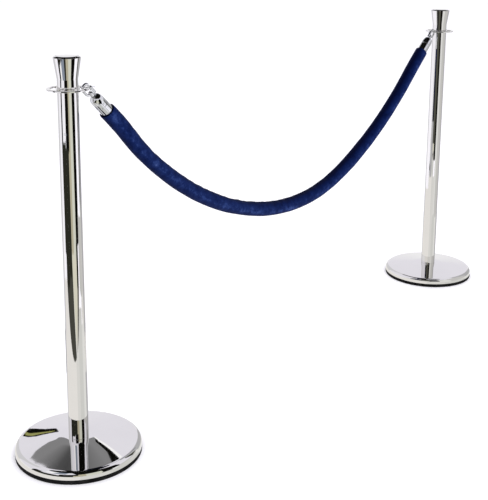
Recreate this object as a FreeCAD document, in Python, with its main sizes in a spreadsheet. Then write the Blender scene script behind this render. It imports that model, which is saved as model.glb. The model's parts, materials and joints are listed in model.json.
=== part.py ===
import FreeCAD, Part
import math
import os
import re
import Sketcher
from FreeCAD import Placement, Rotation, Vector

# A rope barrier set: two free-standing posts, each with a slotted rope ring under its crown,
# and one padded velvet rope that hangs between them on a swivelling snap hook at each end.
# Millimetres, +Z up. The origin is on the floor, midway between the posts, which stand on X.

doc = FreeCAD.newDocument("RopeBarrier")

# Driving dimensions: alias, value, meaning
SIZES = (
    ("post_offset", 872.5, "each post's distance from the origin along X"),
    ("base_radius", 160.0, "outside of the base at the floor"),
    ("floor_ring_height", 12.0, "rubber ring, floor to the cover's edge"),
    ("floor_ring_wall", 10.0, "rubber ring's upright wall"),
    ("floor_ring_lip", 28.0, "rubber ring's width along the floor"),
    ("floor_ring_shelf", 4.0, "rubber under the weight"),
    ("shoulder_inset", 1.5, "how far the cover's side leans in"),
    ("shoulder_height", 29.7, "where the cover's side would meet its cone"),
    ("shoulder_round", 14.0, "outside rounding of the cover's shoulder"),
    ("cover_top", 43.3, "cover's flat centre above the floor"),
    ("cover_flat", 27.0, "radius of the cover's flat centre"),
    ("cover_sheet", 1.2, "thickness of the spun cover"),
    ("weight_radius", 146.0, "cast weight"),
    ("weight_top", 20.0, "top of the weight's disc"),
    ("hub_radius", 30.0, "weight's central hub"),
    ("bolt_radius", 6.0, "M12 foot bolt"),
    ("bolt_pocket_radius", 17.0, "counterbore under the weight"),
    ("bolt_pocket_top", 18.0, "ceiling of the counterbore"),
    ("bolt_head_height", 7.5, "M12 hexagon head"),
    ("bolt_head_corner", 10.4, "hexagon head, centre to corner"),
    ("bolt_end", 75.0, "tip of the foot bolt"),
    ("washer_radius", 15.0, "foot bolt's washer"),
    ("washer_thickness", 2.5, "foot bolt's washer"),
    ("thread_gap", 0.05, "radial gap in a fit"),
    ("tube_radius", 25.4, "outside of the post tube"),
    ("tube_wall", 1.5, "wall of the post tube"),
    ("plug_gap", 0.2, "gap round a plug inside a tube"),
    ("plug_length", 34.0, "threaded plugs in the tube"),
    ("ring_bottom", 934.0, "underside of the rope ring, top of the tube"),
    ("ring_plate", 4.0, "thickness of the rope ring"),
    ("ring_radius", 50.4, "outside of the rope ring"),
    ("ring_round", 1.2, "rounding of the rope ring's edge"),
    ("slot_inner", 28.5, "inside radius of a rope slot"),
    ("slot_outer", 42.4, "outside radius of a rope slot"),
    ("slot_half_angle", 28.0, "centre of a slot to the centre of its rounded end"),
    ("left_slot_turn", 45.0, "first slot on the left post, degrees from X"),
    ("right_slot_turn", 0.0, "first slot on the right post, degrees from X"),
    ("stud_radius", 5.0, "M10 stud through the ring"),
    ("stud_reach", 22.0, "stud's length each way from the ring"),
    ("neck_height", 21.5, "straight collar above the ring"),
    ("crown_height", 75.5, "ring to the lid's seam"),
    ("crown_radius", 33.6, "flared crown at its top"),
    ("crown_wall", 1.5, "wall of the crown"),
    ("insert_height", 12.0, "threaded disc in the crown's collar"),
    ("lid_band", 2.5, "height of the lid's edge"),
    ("lid_rise", 1.5, "how far the lid is domed"),
    ("lid_spigot", 5.0, "how far the lid reaches into the crown"),
    ("hook_bend", 10.75, "centre line of the hook's bend"),
    ("hook_wire", 3.25, "radius of the hook's round section"),
    ("hook_reach", 9.0, "straight part of the hook's back"),
    ("neck_radius", 5.5, "hook's shank"),
    ("neck_end", 29.5, "end of the shank, along the hook from its bend"),
    ("barrel_offset", 10.0, "gate barrel beside the hook's centre line"),
    ("barrel_radius", 4.2, "gate barrel"),
    ("barrel_start", 6.0, "mouth of the gate barrel"),
    ("barrel_end", 28.0, "closed end of the gate barrel"),
    ("gate_radius", 2.0, "sliding gate"),
    ("gate_start", -1.5, "tip of the gate, shut"),
    ("gate_length", 14.0, "length of the gate"),
    ("gate_travel", 6.0, "how far the gate slides back"),
    ("tab_start", 9.8, "front of the thumb tab's root"),
    ("tab_root", 3.0, "width of the thumb tab's root"),
    ("tab_thickness", 2.4, "thumb tab across the hook"),
    ("spring_wire", 0.3, "radius of the gate spring's wire"),
    ("spring_coil", 1.5, "radius of the gate spring's coil"),
    ("spring_length", 13.2, "gate spring, gate shut"),
    ("swivel_radius", 2.95, "swivel stud"),
    ("swivel_start", 22.0, "inner end of the swivel stud"),
    ("swivel_head", 6.5, "radius of the swivel stud's head"),
    ("ferrule_start", 30.0, "nose of the ferrule, along the hook from its bend"),
    ("ferrule_end", 110.0, "mouth of the ferrule"),
    ("ferrule_radius", 17.0, "outside of the ferrule"),
    ("ferrule_wall", 3.5, "wall of the ferrule"),
    ("ferrule_cap", 8.5, "thickness of the ferrule's nose"),
    ("core_pin_radius", 2.5, "pin through ferrule and rope core"),
    ("core_pin_place", 57.0, "pin, along the hook from its bend"),
    ("core_start", 48.0, "rope core, along the hook from its bend"),
    ("core_radius", 13.3, "laid rope core"),
    ("padding_radius", 19.6, "outside of the padding sleeve"),
    ("padding_start", 111.0, "padding sleeve, along the hook from its bend"),
    ("cover_radius", 22.0, "outside of the velvet cover"),
    ("cover_thickness", 2.0, "velvet cover and its lining"),
    ("left_pitch", 44.0, "left hook and ferrule, degrees below level"),
    ("right_pitch", 40.0, "right hook and ferrule, degrees below level"),
    ("hook_drop", 932.6, "height of both hooks' bends"),
    ("left_hook_x", 44.4, "left hook's bend from its post, along X"),
    ("left_hook_y", -13.5, "left hook's bend from its post, along Y"),
    ("right_hook_x", -46.2, "right hook's bend from its post, along X"),
    ("right_hook_y", 2.5, "right hook's bend from its post, along Y"),
)

# The cover's centre line in the rope's own upright plane: along the plane, height.
# It runs from the cover's left mouth to its right mouth; its end runs follow the ferrules.
ROUTE = (
    (-762.5, 870.1),
    (-719.3, 828.4),
    (-655.0, 754.0),
    (-570.0, 680.0),
    (-465.0, 607.0),
    (-350.0, 546.0),
    (-225.0, 500.0),
    (-95.0, 472.0),
    (35.0, 467.0),
    (165.0, 487.0),
    (290.0, 534.0),
    (410.0, 598.0),
    (520.0, 670.0),
    (622.0, 750.0),
    (707.0, 831.7),
    (752.9, 870.2),
)


def make_sheet():
    """The spreadsheet whose cells drive every sub-part."""
    sheet = doc.addObject("Spreadsheet::Sheet", "Dims")
    for row, (alias, value, meaning) in enumerate(SIZES, start=1):
        sheet.set(f"A{row}", meaning)
        sheet.set(f"B{row}", str(value))
        sheet.setAlias(f"B{row}", alias)
    doc.recompute()
    return sheet


def bound(words):
    """An expression with each word that names a cell pointed at the sheet."""
    names = "|".join(alias for alias, *_ in SIZES)
    return re.sub(rf"\b({names})\b", r"Dims.\1", words)


def value(words):
    """The number that an expression of the sheet's cells gives."""
    return float(sheet.evalExpression(bound(words)))


def origin_plane(body, role):
    return next(item for item in body.Origin.OriginFeatures if item.Role == role)


def new_body(label):
    body = doc.addObject("PartDesign::Body", label)
    body.Label = label
    return body


def new_sketch(body, name, plane="XZ_Plane"):
    sketch = body.newObject("Sketcher::SketchObject", name)
    sketch.AttachmentSupport = [(origin_plane(body, plane), "")]
    sketch.MapMode = "FlatFace"
    return sketch


def pin_down(sketch, edge, end, across, up):
    """Ties one end of a sketch edge to a place given by two expressions."""
    for kind, axis, words in (("DistanceX", -2, across), ("DistanceY", -1, up)):
        if abs(value(words)) < 1e-9:
            sketch.addConstraint(Sketcher.Constraint("PointOnObject", edge, end, axis))
            continue
        distance = Sketcher.Constraint(kind, -1, 1, edge, end, value(words))
        index = sketch.addConstraint(distance)
        sketch.setExpression(f"Constraints[{index}]", bound(words))


def draw_outline(sketch, corners):
    """A closed outline of straight edges; each corner is a pair of expressions."""
    places = [Vector(value(across), value(up), 0) for across, up in corners]
    count = len(places)
    for i in range(count):
        sketch.addGeometry(Part.LineSegment(places[i], places[(i + 1) % count]), False)
    for i in range(count):
        joined = Sketcher.Constraint("Coincident", i, 2, (i + 1) % count, 1)
        sketch.addConstraint(joined)
    for i, (across, up) in enumerate(corners):
        pin_down(sketch, i, 1, across, up)


def draw_circle(sketch, radius, across="0", up="0"):
    centre = Vector(value(across), value(up), 0)
    circle = Part.Circle(centre, Vector(0, 0, 1), value(radius))
    edge = sketch.addGeometry(circle, False)
    pin_down(sketch, edge, 3, across, up)
    size = sketch.addConstraint(Sketcher.Constraint("Radius", edge, value(radius)))
    sketch.setExpression(f"Constraints[{size}]", bound(radius))


def turned(label, corners, about="V_Axis", body=None, feature="Revolution"):
    """A body turned from an outline, about its own Z (V_Axis) or X (H_Axis)."""
    body = body or new_body(label)
    sketch = new_sketch(body, f"{label}_outline_{len(body.Group)}")
    draw_outline(sketch, corners)
    turn = body.newObject(f"PartDesign::{feature}", f"{label}_turn_{len(body.Group)}")
    turn.Profile = sketch
    turn.ReferenceAxis = (sketch, [about])
    turn.Angle = 360
    doc.recompute()
    return body


def padded(body, sketch, length, name, kind="Pad"):
    """Pads or pockets a sketch evenly to both sides of its plane."""
    pad = body.newObject(f"PartDesign::{kind}", name)
    pad.Profile = sketch
    pad.Midplane = True
    pad.setExpression("Length", bound(length))
    doc.recompute()
    return pad


def round_circles(body, radius, places):
    """Rounds the full-circle edges that pass at (distance from Z, height)."""
    wanted = [(value(out), value(up)) for out, up in places]
    names = []
    for index, edge in enumerate(body.Tip.Shape.Edges, start=1):
        for out, up in wanted:
            start = edge.Vertexes[0].Point
            if abs(math.hypot(start.x, start.y) - out) < 0.01 and abs(start.z - up) < 0.01:
                if abs(edge.BoundBox.ZLength) < 0.01:
                    names.append(f"Edge{index}")
    add_fillet(body, radius, names)


def round_turned(body, radius, places):
    """Rounds the circles round X that pass at (place along X, radius)."""
    wanted = [(value(along), value(out)) for along, out in places]
    names = []
    for index, edge in enumerate(body.Tip.Shape.Edges, start=1):
        start = edge.Vertexes[0].Point
        for along, out in wanted:
            if abs(start.x - along) < 0.01 and abs(math.hypot(start.y, start.z) - out) < 0.01:
                if edge.BoundBox.XLength < 0.01:
                    names.append(f"Edge{index}")
    add_fillet(body, radius, names)


def add_fillet(body, radius, names):
    before = body.Tip
    fillet = body.newObject("PartDesign::Fillet", f"{body.Label}_round_{len(body.Group)}")
    fillet.Base = (before, names)
    fillet.setExpression("Radius", bound(radius))
    doc.recompute()


def cylinder(label, radius, bottom, height):
    rod = doc.addObject("Part::Cylinder", label)
    rod.setExpression("Radius", bound(radius))
    rod.setExpression("Height", bound(height))
    rod.setExpression("Placement.Base.z", bound(bottom))
    return rod


def stand_on_post(piece, side):
    """Puts a piece that was made round the origin on its post."""
    sign = "-" if side == "left" else ""
    piece.setExpression("Placement.Base.x", f"{sign}Dims.post_offset")
    return piece


# ---- the base ----


def floor_ring(label):
    return turned(label, (
        ("base_radius - floor_ring_lip", "0"),
        ("base_radius", "0"),
        ("base_radius", "floor_ring_height"),
        ("base_radius - floor_ring_wall", "floor_ring_height"),
        ("base_radius - floor_ring_wall", "floor_ring_shelf"),
        ("base_radius - floor_ring_lip", "floor_ring_shelf"),
    ))


def base_weight(label):
    return turned(label, (
        ("bolt_pocket_radius", "floor_ring_shelf"),
        ("weight_radius", "floor_ring_shelf"),
        ("weight_radius", "weight_top"),
        ("hub_radius + 14", "weight_top"),
        ("hub_radius", "weight_top + 8"),
        ("hub_radius - 4", "cover_top - cover_sheet"),
        ("bolt_radius + 0.5", "cover_top - cover_sheet"),
        ("bolt_radius + 0.5", "bolt_pocket_top"),
        ("bolt_pocket_radius", "bolt_pocket_top"),
    ))


def base_cover(label):
    """A spun shell: a leaning side, a rounded shoulder, a shallow cone and a flat centre."""
    side = "base_radius - shoulder_inset"
    cover = turned(label, (
        ("base_radius", "floor_ring_height"),
        (side, "shoulder_height"),
        ("cover_flat", "cover_top"),
        ("bolt_radius + 1", "cover_top"),
        ("bolt_radius + 1", "cover_top - cover_sheet"),
        ("cover_flat", "cover_top - cover_sheet"),
        (side + " - cover_sheet", "shoulder_height - cover_sheet"),
        ("base_radius - cover_sheet", "floor_ring_height"),
    ))
    round_circles(cover, "shoulder_round", ((side, "shoulder_height"),))
    inside = (side + " - cover_sheet", "shoulder_height - cover_sheet")
    round_circles(cover, "shoulder_round - cover_sheet", (inside,))
    return cover


def base_bolt(label):
    """A hexagon-headed bolt that comes up through the weight into the tube's foot plug."""
    head = doc.addObject("Part::Prism", f"{label}_head")
    head.Polygon = 6
    head.setExpression("Circumradius", bound("bolt_head_corner"))
    head.setExpression("Height", bound("bolt_head_height"))
    below = "bolt_pocket_top - washer_thickness"
    head.setExpression("Placement.Base.z", bound(below + " - bolt_head_height"))
    shank = cylinder(f"{label}_shank", "bolt_radius", below, "bolt_end - " + f"({below})")
    bolt = doc.addObject("Part::Fuse", label)
    bolt.Base = head
    bolt.Tool = shank
    return bolt


def bolt_washer(label):
    return turned(label, (
        ("bolt_radius + 0.5", "bolt_pocket_top - washer_thickness"),
        ("washer_radius", "bolt_pocket_top - washer_thickness"),
        ("washer_radius", "bolt_pocket_top"),
        ("bolt_radius + 0.5", "bolt_pocket_top"),
    ))


# ---- the post ----


def sleeve(label, inner, outer, bottom, top):
    """A plain ring with a square section round Z."""
    corners = ((inner, bottom), (outer, bottom), (outer, top), (inner, top))
    return turned(label, corners)


def post_tube(label):
    return sleeve(label, "tube_radius - tube_wall", "tube_radius", "cover_top", "ring_bottom")


def foot_plug(label):
    outer = "tube_radius - tube_wall - plug_gap"
    return sleeve(label, "bolt_radius + thread_gap", outer, "cover_top", "cover_top + plug_length")


def top_plug(label):
    outer = "tube_radius - tube_wall - plug_gap"
    inner = "stud_radius + thread_gap"
    return sleeve(label, inner, outer, "ring_bottom - plug_length", "ring_bottom")


def draw_slot(sketch):
    """A kidney slot: two arcs round the ring's centre, joined by a round end each side."""
    half = math.radians(value("slot_half_angle"))
    inner = value("slot_inner")
    outer = value("slot_outer")
    middle = (inner + outer) / 2
    up = Vector(0, 0, 1)
    for radius in (outer, inner):
        circle = Part.Circle(Vector(0, 0, 0), up, radius)
        sketch.addGeometry(Part.ArcOfCircle(circle, -half, half), False)
    for side in (1, -1):
        centre = Vector(middle * math.cos(half), side * middle * math.sin(half), 0)
        circle = Part.Circle(centre, up, (outer - inner) / 2)
        start = half if side == 1 else math.pi - half
        sketch.addGeometry(Part.ArcOfCircle(circle, start, start + math.pi), False)
    for arc, words in ((0, "slot_outer"), (1, "slot_inner")):
        sketch.addConstraint(Sketcher.Constraint("Coincident", arc, 3, -1, 1))
        size = sketch.addConstraint(Sketcher.Constraint("Radius", arc, value(words)))
        sketch.setExpression(f"Constraints[{size}]", bound(words))
    for arc, end, cap, cap_end in ((0, 2, 2, 1), (1, 2, 2, 2), (1, 1, 3, 1), (0, 1, 3, 2)):
        sketch.addConstraint(Sketcher.Constraint("Tangent", arc, end, cap, cap_end))
    reach = "(slot_inner + slot_outer) / 2 * sin(slot_half_angle)"
    for cap, words in ((2, reach), (3, f"-({reach})")):
        rise = Sketcher.Constraint("DistanceY", -1, 1, cap, 3, value(words))
        place = sketch.addConstraint(rise)
        sketch.setExpression(f"Constraints[{place}]", bound(words))


def rope_ring(label):
    """The plate clamped under the crown, with four kidney slots."""
    turn = value(f"{label.split('_')[0]}_slot_turn")
    ring = sleeve(label, "stud_radius + 0.3", "ring_radius", "ring_bottom", "ring_bottom + ring_plate")
    edges = (("ring_radius", "ring_bottom"), ("ring_radius", "ring_bottom + ring_plate"))
    round_circles(ring, "ring_round", edges)
    sketch = new_sketch(ring, f"{label}_slot", "XY_Plane")
    draw_slot(sketch)
    sketch.AttachmentOffset = Placement(Vector(0, 0, 0), Rotation(Vector(0, 0, 1), turn))
    slot = padded(ring, sketch, "2 * (ring_bottom + 2 * ring_plate)", f"{label}_pocket", "Pocket")
    slots = ring.newObject("PartDesign::PolarPattern", f"{label}_slots")
    slots.Originals = [slot]
    slots.Axis = (sketch, ["N_Axis"])
    slots.Angle = 360
    slots.Occurrences = 4
    ring.Tip = slots
    doc.recompute()
    return ring


def crown_stud(label):
    middle = "ring_bottom + ring_plate / 2"
    return cylinder(label, "stud_radius", f"{middle} - stud_reach", "2 * stud_reach")


# ---- the crown ----

RING_TOP = "ring_bottom + ring_plate"
SEAM = f"{RING_TOP} + crown_height - lid_band"


def crown_insert(label):
    outer = "tube_radius - crown_wall - plug_gap"
    inner = "stud_radius + thread_gap"
    return sleeve(label, inner, outer, RING_TOP, f"{RING_TOP} + insert_height")


def crown_shell(label):
    """A straight collar of the tube's size that flares to the lid."""
    return turned(label, (
        ("tube_radius - crown_wall", RING_TOP),
        ("tube_radius", RING_TOP),
        ("tube_radius", f"{RING_TOP} + neck_height"),
        ("crown_radius", SEAM),
        ("crown_radius - crown_wall", SEAM),
        ("tube_radius - crown_wall", f"{RING_TOP} + neck_height"),
    ))


def crown_lid(label):
    """A slightly domed lid with a rounded edge and a spigot inside the crown."""
    top = f"{SEAM} + lid_band"
    spigot = "crown_radius - crown_wall - plug_gap"
    lid = turned(label, (
        ("0", f"{SEAM} - lid_spigot"),
        (f"{spigot} - 1", f"{SEAM} - lid_spigot"),
        (spigot, SEAM),
        ("crown_radius", SEAM),
        ("crown_radius", top),
        ("0", f"{top} + lid_rise"),
    ))
    round_circles(lid, "lid_band * 0.5", (("crown_radius", top),))
    return lid


# ---- the snap hook, along its own X from the centre of its bend ----


def hook_body(label):
    """A round bar bent into a hook, a bored shank, and a barrel beside it for the gate."""
    hook = turned(label, (
        ("neck_end - 14.5", "0"),
        ("neck_end - 14.5", "neck_radius - 1.5"),
        ("neck_end - 12.5", "neck_radius"),
        ("neck_end - 2", "neck_radius"),
        ("neck_end", "neck_radius - 1"),
        ("neck_end", "swivel_radius + thread_gap"),
        ("swivel_start - 0.5", "swivel_radius + thread_gap"),
        ("swivel_start - 0.5", "0"),
    ), "H_Axis")
    bend_the_bar(hook)
    web = new_sketch(hook, f"{label}_web_outline")
    draw_outline(web, (
        ("neck_end - 14", "2"),
        ("neck_end - 2", "neck_radius - 1"),
        ("barrel_end - 1", "barrel_offset - gate_radius - 1"),
        ("neck_end - 18", "barrel_offset - gate_radius - 1"),
    ))
    padded(hook, web, "5", f"{label}_web")
    add_barrel(hook)
    return hook


def bend_the_bar(hook):
    """Sweeps the round section along the hook's nose, bend, back and shoulder."""
    path = new_sketch(hook, f"{hook.Label}_path")
    bend = value("hook_bend")
    reach = value("hook_reach")
    up = Vector(0, 0, 1)
    nose = math.radians(105)
    shoulder = math.radians(345)
    tip = Part.Circle(Vector(0, 0, 0), up, bend)
    path.addGeometry(Part.ArcOfCircle(tip, nose, 1.5 * math.pi), False)
    path.addGeometry(Part.LineSegment(Vector(0, -bend, 0), Vector(reach, -bend, 0)), False)
    root = Part.Circle(Vector(reach, 0, 0), up, bend)
    path.addGeometry(Part.ArcOfCircle(root, 1.5 * math.pi, shoulder), False)
    path.addConstraint(Sketcher.Constraint("Coincident", 0, 3, -1, 1))
    path.addConstraint(Sketcher.Constraint("Tangent", 0, 2, 1, 1))
    path.addConstraint(Sketcher.Constraint("Tangent", 1, 2, 2, 1))
    pin_down(path, 1, 1, "0", "-hook_bend")
    path.addConstraint(Sketcher.Constraint("PointOnObject", 2, 3, -1))
    rise = f"hook_bend * sin({math.degrees(nose):.0f})"
    fall = f"-hook_bend * sin({360 - math.degrees(shoulder):.0f})"
    places = (("DistanceX", 1, 2, "hook_reach"), ("DistanceY", 0, 1, rise), ("DistanceY", 2, 2, fall))
    for kind, edge, end, words in places:
        distance = Sketcher.Constraint(kind, -1, 1, edge, end, value(words))
        index = path.addConstraint(distance)
        path.setExpression(f"Constraints[{index}]", bound(words))
    section = new_sketch(hook, f"{hook.Label}_section", "YZ_Plane")
    draw_circle(section, "hook_wire", "0", "-hook_bend")
    doc.recompute()
    bar = hook.newObject("PartDesign::AdditivePipe", f"{hook.Label}_bar")
    bar.Profile = section
    bar.Spine = (path, ["Edge1", "Edge2", "Edge3"])
    doc.recompute()


def add_barrel(hook):
    """The gate's barrel, its bore, and the slot that the thumb tab slides in."""
    label = hook.Label
    side = "barrel_offset"
    barrel = new_sketch(hook, f"{label}_barrel_outline", "YZ_Plane")
    draw_circle(barrel, "barrel_radius", "0", side)
    along(hook, barrel, "Pad", "barrel_start", "barrel_end", f"{label}_barrel")
    bore = new_sketch(hook, f"{label}_bore_outline", "YZ_Plane")
    draw_circle(bore, "gate_radius + thread_gap", "0", side)
    along(hook, bore, "Pocket", "barrel_start - 1", "barrel_end + 1", f"{label}_bore")
    slot = new_sketch(hook, f"{label}_tab_slot_outline")
    last = "tab_start + tab_root + gate_travel + 0.4"
    draw_outline(slot, (
        ("tab_start - 0.4", side),
        (last, side),
        (last, f"{side} + barrel_radius + 1"),
        ("tab_start - 0.4", f"{side} + barrel_radius + 1"),
    ))
    padded(hook, slot, "tab_thickness + 0.4", f"{label}_tab_slot", "Pocket")


def along(body, sketch, kind, start, end, name):
    """Pads or pockets a YZ sketch from one place along X to another."""
    sketch.setExpression("AttachmentOffset.Base.z", bound(start))
    feature = body.newObject(f"PartDesign::{kind}", name)
    feature.Profile = sketch
    feature.setExpression("Length", bound(f"{end} - ({start})"))
    feature.Reversed = kind == "Pocket"
    doc.recompute()


def gate_bolt(label):
    """The sliding gate: a round rod with a slanted thumb tab."""
    end = "gate_start + gate_length"
    gate = new_body(label)
    rod = new_sketch(gate, f"{label}_rod_outline", "YZ_Plane")
    draw_circle(rod, "gate_radius", "0", "barrel_offset")
    along(gate, rod, "Pad", "gate_start", end, f"{label}_rod")
    tab = new_sketch(gate, f"{label}_tab_outline")
    draw_outline(tab, (
        ("tab_start", "barrel_offset"),
        ("tab_start + tab_root", "barrel_offset"),
        ("tab_start + tab_root", "barrel_offset + 4.5"),
        ("tab_start + tab_root + 8.2", "barrel_offset + 9.2"),
        ("tab_start + tab_root + 6.4", "barrel_offset + 11.6"),
        ("tab_start + 0.6", "barrel_offset + 6.6"),
    ))
    padded(gate, tab, "tab_thickness", f"{label}_tab")
    return gate


def gate_spring(label):
    """A compression spring behind the gate, coiled along X."""
    helix = doc.addObject("Part::Helix", f"{label}_line")
    helix.setExpression("Radius", bound("spring_coil"))
    helix.setExpression("Height", bound("spring_length - 2 * spring_wire - 0.4"))
    helix.setExpression("Pitch", bound("spring_length / 8"))
    section = doc.addObject("Part::Circle", f"{label}_section")
    section.setExpression("Radius", bound("spring_wire"))
    section.Placement = Placement(Vector(value("spring_coil"), 0, 0), Rotation(Vector(1, 0, 0), 90))
    coil = doc.addObject("Part::Sweep", label)
    coil.Sections = [section]
    coil.Spine = (helix, ["Edge1"])
    coil.Solid = True
    coil.Frenet = True
    return coil


def barrel_plug(label):
    """The pressed disc that closes the barrel behind the spring."""
    plug = new_body(label)
    disc = new_sketch(plug, f"{label}_outline", "YZ_Plane")
    draw_circle(disc, "gate_radius", "0", "barrel_offset")
    along(plug, disc, "Pad", "barrel_end - 2", "barrel_end", f"{label}_disc")
    return plug


def swivel_stud(label):
    """The headed stud that holds the hook to the ferrule and lets it turn."""
    head = "ferrule_start + ferrule_cap + 0.3"
    return turned(label, (
        ("swivel_start", "0"),
        ("swivel_start", "swivel_radius"),
        (head, "swivel_radius"),
        (head, "swivel_head"),
        (f"{head} + 3.5", "swivel_head"),
        (f"{head} + 3.5", "0"),
    ), "H_Axis")


def rope_ferrule(label):
    """A domed cup that takes the rope's core, with a rolled groove behind its nose."""
    hole = "swivel_radius + 0.07"
    inside = "ferrule_radius - ferrule_wall"
    ferrule = turned(label, (
        ("ferrule_start", hole),
        ("ferrule_start", "ferrule_radius - 10"),
        ("ferrule_start + 6.5", "ferrule_radius - 2.4"),
        ("ferrule_start + 17", "ferrule_radius"),
        ("ferrule_start + 34", "ferrule_radius"),
        ("ferrule_start + 34.8", "ferrule_radius - 0.7"),
        ("ferrule_start + 35.6", "ferrule_radius"),
        ("ferrule_end", "ferrule_radius"),
        ("ferrule_end", inside),
        ("ferrule_start + ferrule_cap", inside),
        ("ferrule_start + ferrule_cap", hole),
    ), "H_Axis")
    round_turned(ferrule, "8", (("ferrule_start", "ferrule_radius - 10"),))
    round_turned(ferrule, "12", (("ferrule_start + 6.5", "ferrule_radius - 2.4"),))
    round_turned(ferrule, "50", (("ferrule_start + 17", "ferrule_radius"),))
    return ferrule


def bore_for_pin(ferrule):
    """The cross hole that the core pin is driven through."""
    hole = new_sketch(ferrule, f"{ferrule.Label}_pin_hole")
    draw_circle(hole, "core_pin_radius + thread_gap", "core_pin_place", "0")
    padded(ferrule, hole, "3 * ferrule_radius", f"{ferrule.Label}_pin_bore", "Pocket")
    return ferrule


def core_pin(label):
    """A pin across the ferrule with a low round head each side."""
    pin = new_body(label)
    circle = new_sketch(pin, f"{label}_outline")
    draw_circle(circle, "core_pin_radius", "core_pin_place", "0")
    padded(pin, circle, "2 * ferrule_radius + 1.6", f"{label}_rod")
    rims = [f"Edge{i}" for i, edge in enumerate(pin.Tip.Shape.Edges, start=1) if edge.Closed]
    add_fillet(pin, "core_pin_radius * 0.4", rims)
    return pin


# ---- where the rope and its ends lie ----


def hook_centre(side):
    sign = -1 if side == "left" else 1
    across = sign * value("post_offset") + value(f"{side}_hook_x")
    return Vector(across, value(f"{side}_hook_y"), value("hook_drop"))


def rope_plane():
    """The upright plane through both hooks, as a placement whose X runs along it."""
    left = hook_centre("left")
    right = hook_centre("right")
    span = right - left
    turn = Rotation(Vector(0, 0, 1), math.degrees(math.atan2(span.y, span.x)))
    middle = (left + right) * 0.5
    return Placement(Vector(middle.x, middle.y, 0), turn)


def end_placement(side):
    """The hook's own frame: its X runs down along the hook and ferrule towards the rope."""
    pitch = value(f"{side}_pitch")
    if side == "left":
        lean = Rotation(Vector(0, 1, 0), pitch)
    else:
        lean = Rotation(Vector(0, 1, 0), -pitch) * Rotation(Vector(0, 0, 1), 180)
    return Placement(hook_centre(side), rope_plane().Rotation * lean)


def rounded_route(start_trim, end_trim):
    """The route as straight runs and tangent arcs, its first and last run trimmed or grown."""
    points = [Vector(along_plane, 0, height) for along_plane, height in ROUTE]
    first = (points[1] - points[0]).normalize()
    last = (points[-1] - points[-2]).normalize()
    edges = []
    radii = []
    reached = points[0] + first * start_trim
    for before, corner, after in zip(points, points[1:], points[2:]):
        come = corner - before
        leave = after - corner
        turn = come.getAngle(leave)
        setback = 0.45 * min(come.Length, leave.Length)
        radii.append(setback / math.tan(turn / 2))
        come = come.normalize()
        leave = leave.normalize()
        enter = corner - come * setback
        leaving = corner + leave * setback
        bulge = (leave - come).normalize() * radii[-1] * (1 / math.cos(turn / 2) - 1)
        edges.append(Part.LineSegment(reached, enter).toShape())
        edges.append(Part.Arc(enter, corner + bulge, leaving).toShape())
        reached = leaving
    edges.append(Part.LineSegment(reached, points[-1] + last * -end_trim).toShape())
    return Part.Wire(edges), radii, first


def rope_sleeve(label, inner, outer, start_trim, end_trim):
    """A round sleeve, or a solid round rope where inner is nothing, along the route."""
    path, radii, first = rounded_route(start_trim, end_trim)
    start = path.Edges[0].Vertexes[0].Point
    solids = []
    for radius in filter(None, (outer, inner)):
        ring = Part.Wire(Part.makeCircle(value(radius), start, first))
        solids.append(path.makePipeShell([ring], True, False))
    shape = solids[0] if inner is None else solids[0].cut(solids[1])
    area = math.pi * (value(outer) ** 2 - (value(inner) ** 2 if inner else 0))
    print(f"{label}: length {path.Length:.1f} mm, tightest radius {min(radii):.0f} mm,"
          f" volume over section x length {shape.Volume / (area * path.Length):.4f}")
    piece = doc.addObject("Part::Feature", label)
    piece.Label = label
    piece.Shape = shape
    piece.Placement = rope_plane()
    return piece


def make_post(side):
    makers = (
        floor_ring, base_weight, base_cover, base_bolt, bolt_washer,
        foot_plug, post_tube, top_plug, rope_ring,
        crown_stud, crown_insert, crown_shell, crown_lid,
    )
    return [stand_on_post(maker(f"{side}_{maker.__name__}"), side) for maker in makers]


def make_rope_end(side):
    pieces = []
    place = end_placement(side)
    for maker in (hook_body, gate_bolt, barrel_plug, swivel_stud, rope_ferrule, core_pin):
        piece = maker(f"{side}_{maker.__name__}")
        if maker is rope_ferrule:
            bore_for_pin(piece)
        piece.Placement = place
        pieces.append(piece)
    spring = gate_spring(f"{side}_gate_spring")
    behind = value("gate_start + gate_length + spring_wire + 0.2")
    lie_down = Rotation(Vector(0, 1, 0), 90)
    spring.Placement = place * Placement(Vector(behind, 0, value("barrel_offset")), lie_down)
    return pieces + [spring]


def make_rope():
    mouth = math.dist((ROUTE[0][0], ROUTE[0][1]), (HOOK_CENTRE_LEFT.x, HOOK_CENTRE_LEFT.z))
    far_mouth = math.dist((ROUTE[-1][0], ROUTE[-1][1]), (HOOK_CENTRE_RIGHT.x, HOOK_CENTRE_RIGHT.z))
    print(f"cover starts {mouth:.1f} mm and {far_mouth:.1f} mm from the hooks' bends")
    core = (value("core_start") - mouth, value("core_start") - far_mouth)
    padding = (value("padding_start") - mouth, value("padding_start") - far_mouth)
    lining = "cover_radius - cover_thickness"
    return [
        rope_sleeve("rope_core", None, "core_radius", *core),
        rope_sleeve("rope_padding", "core_radius + 0.2", "padding_radius", *padding),
        rope_sleeve("rope_cover", lining, "cover_radius", 0, 0),
    ]


def in_plane(point):
    return rope_plane().inverse().multVec(point)


def check(pieces):
    """Stops before anything is written if a feature failed or a piece is not one sound shape."""
    doc.recompute()
    for item in doc.Objects:
        if "Invalid" in item.State or "Error" in item.State:
            raise RuntimeError(f"{item.Name} failed: {item.State}")
    labels = [piece.Label for piece in pieces]
    if len(set(labels)) != len(labels):
        raise RuntimeError("two pieces share a label")
    for piece in pieces:
        if piece.Shape.isNull() or not piece.Shape.isValid() or piece.Shape.Volume <= 0:
            raise RuntimeError(f"{piece.Label} is not a sound shape")


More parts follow.
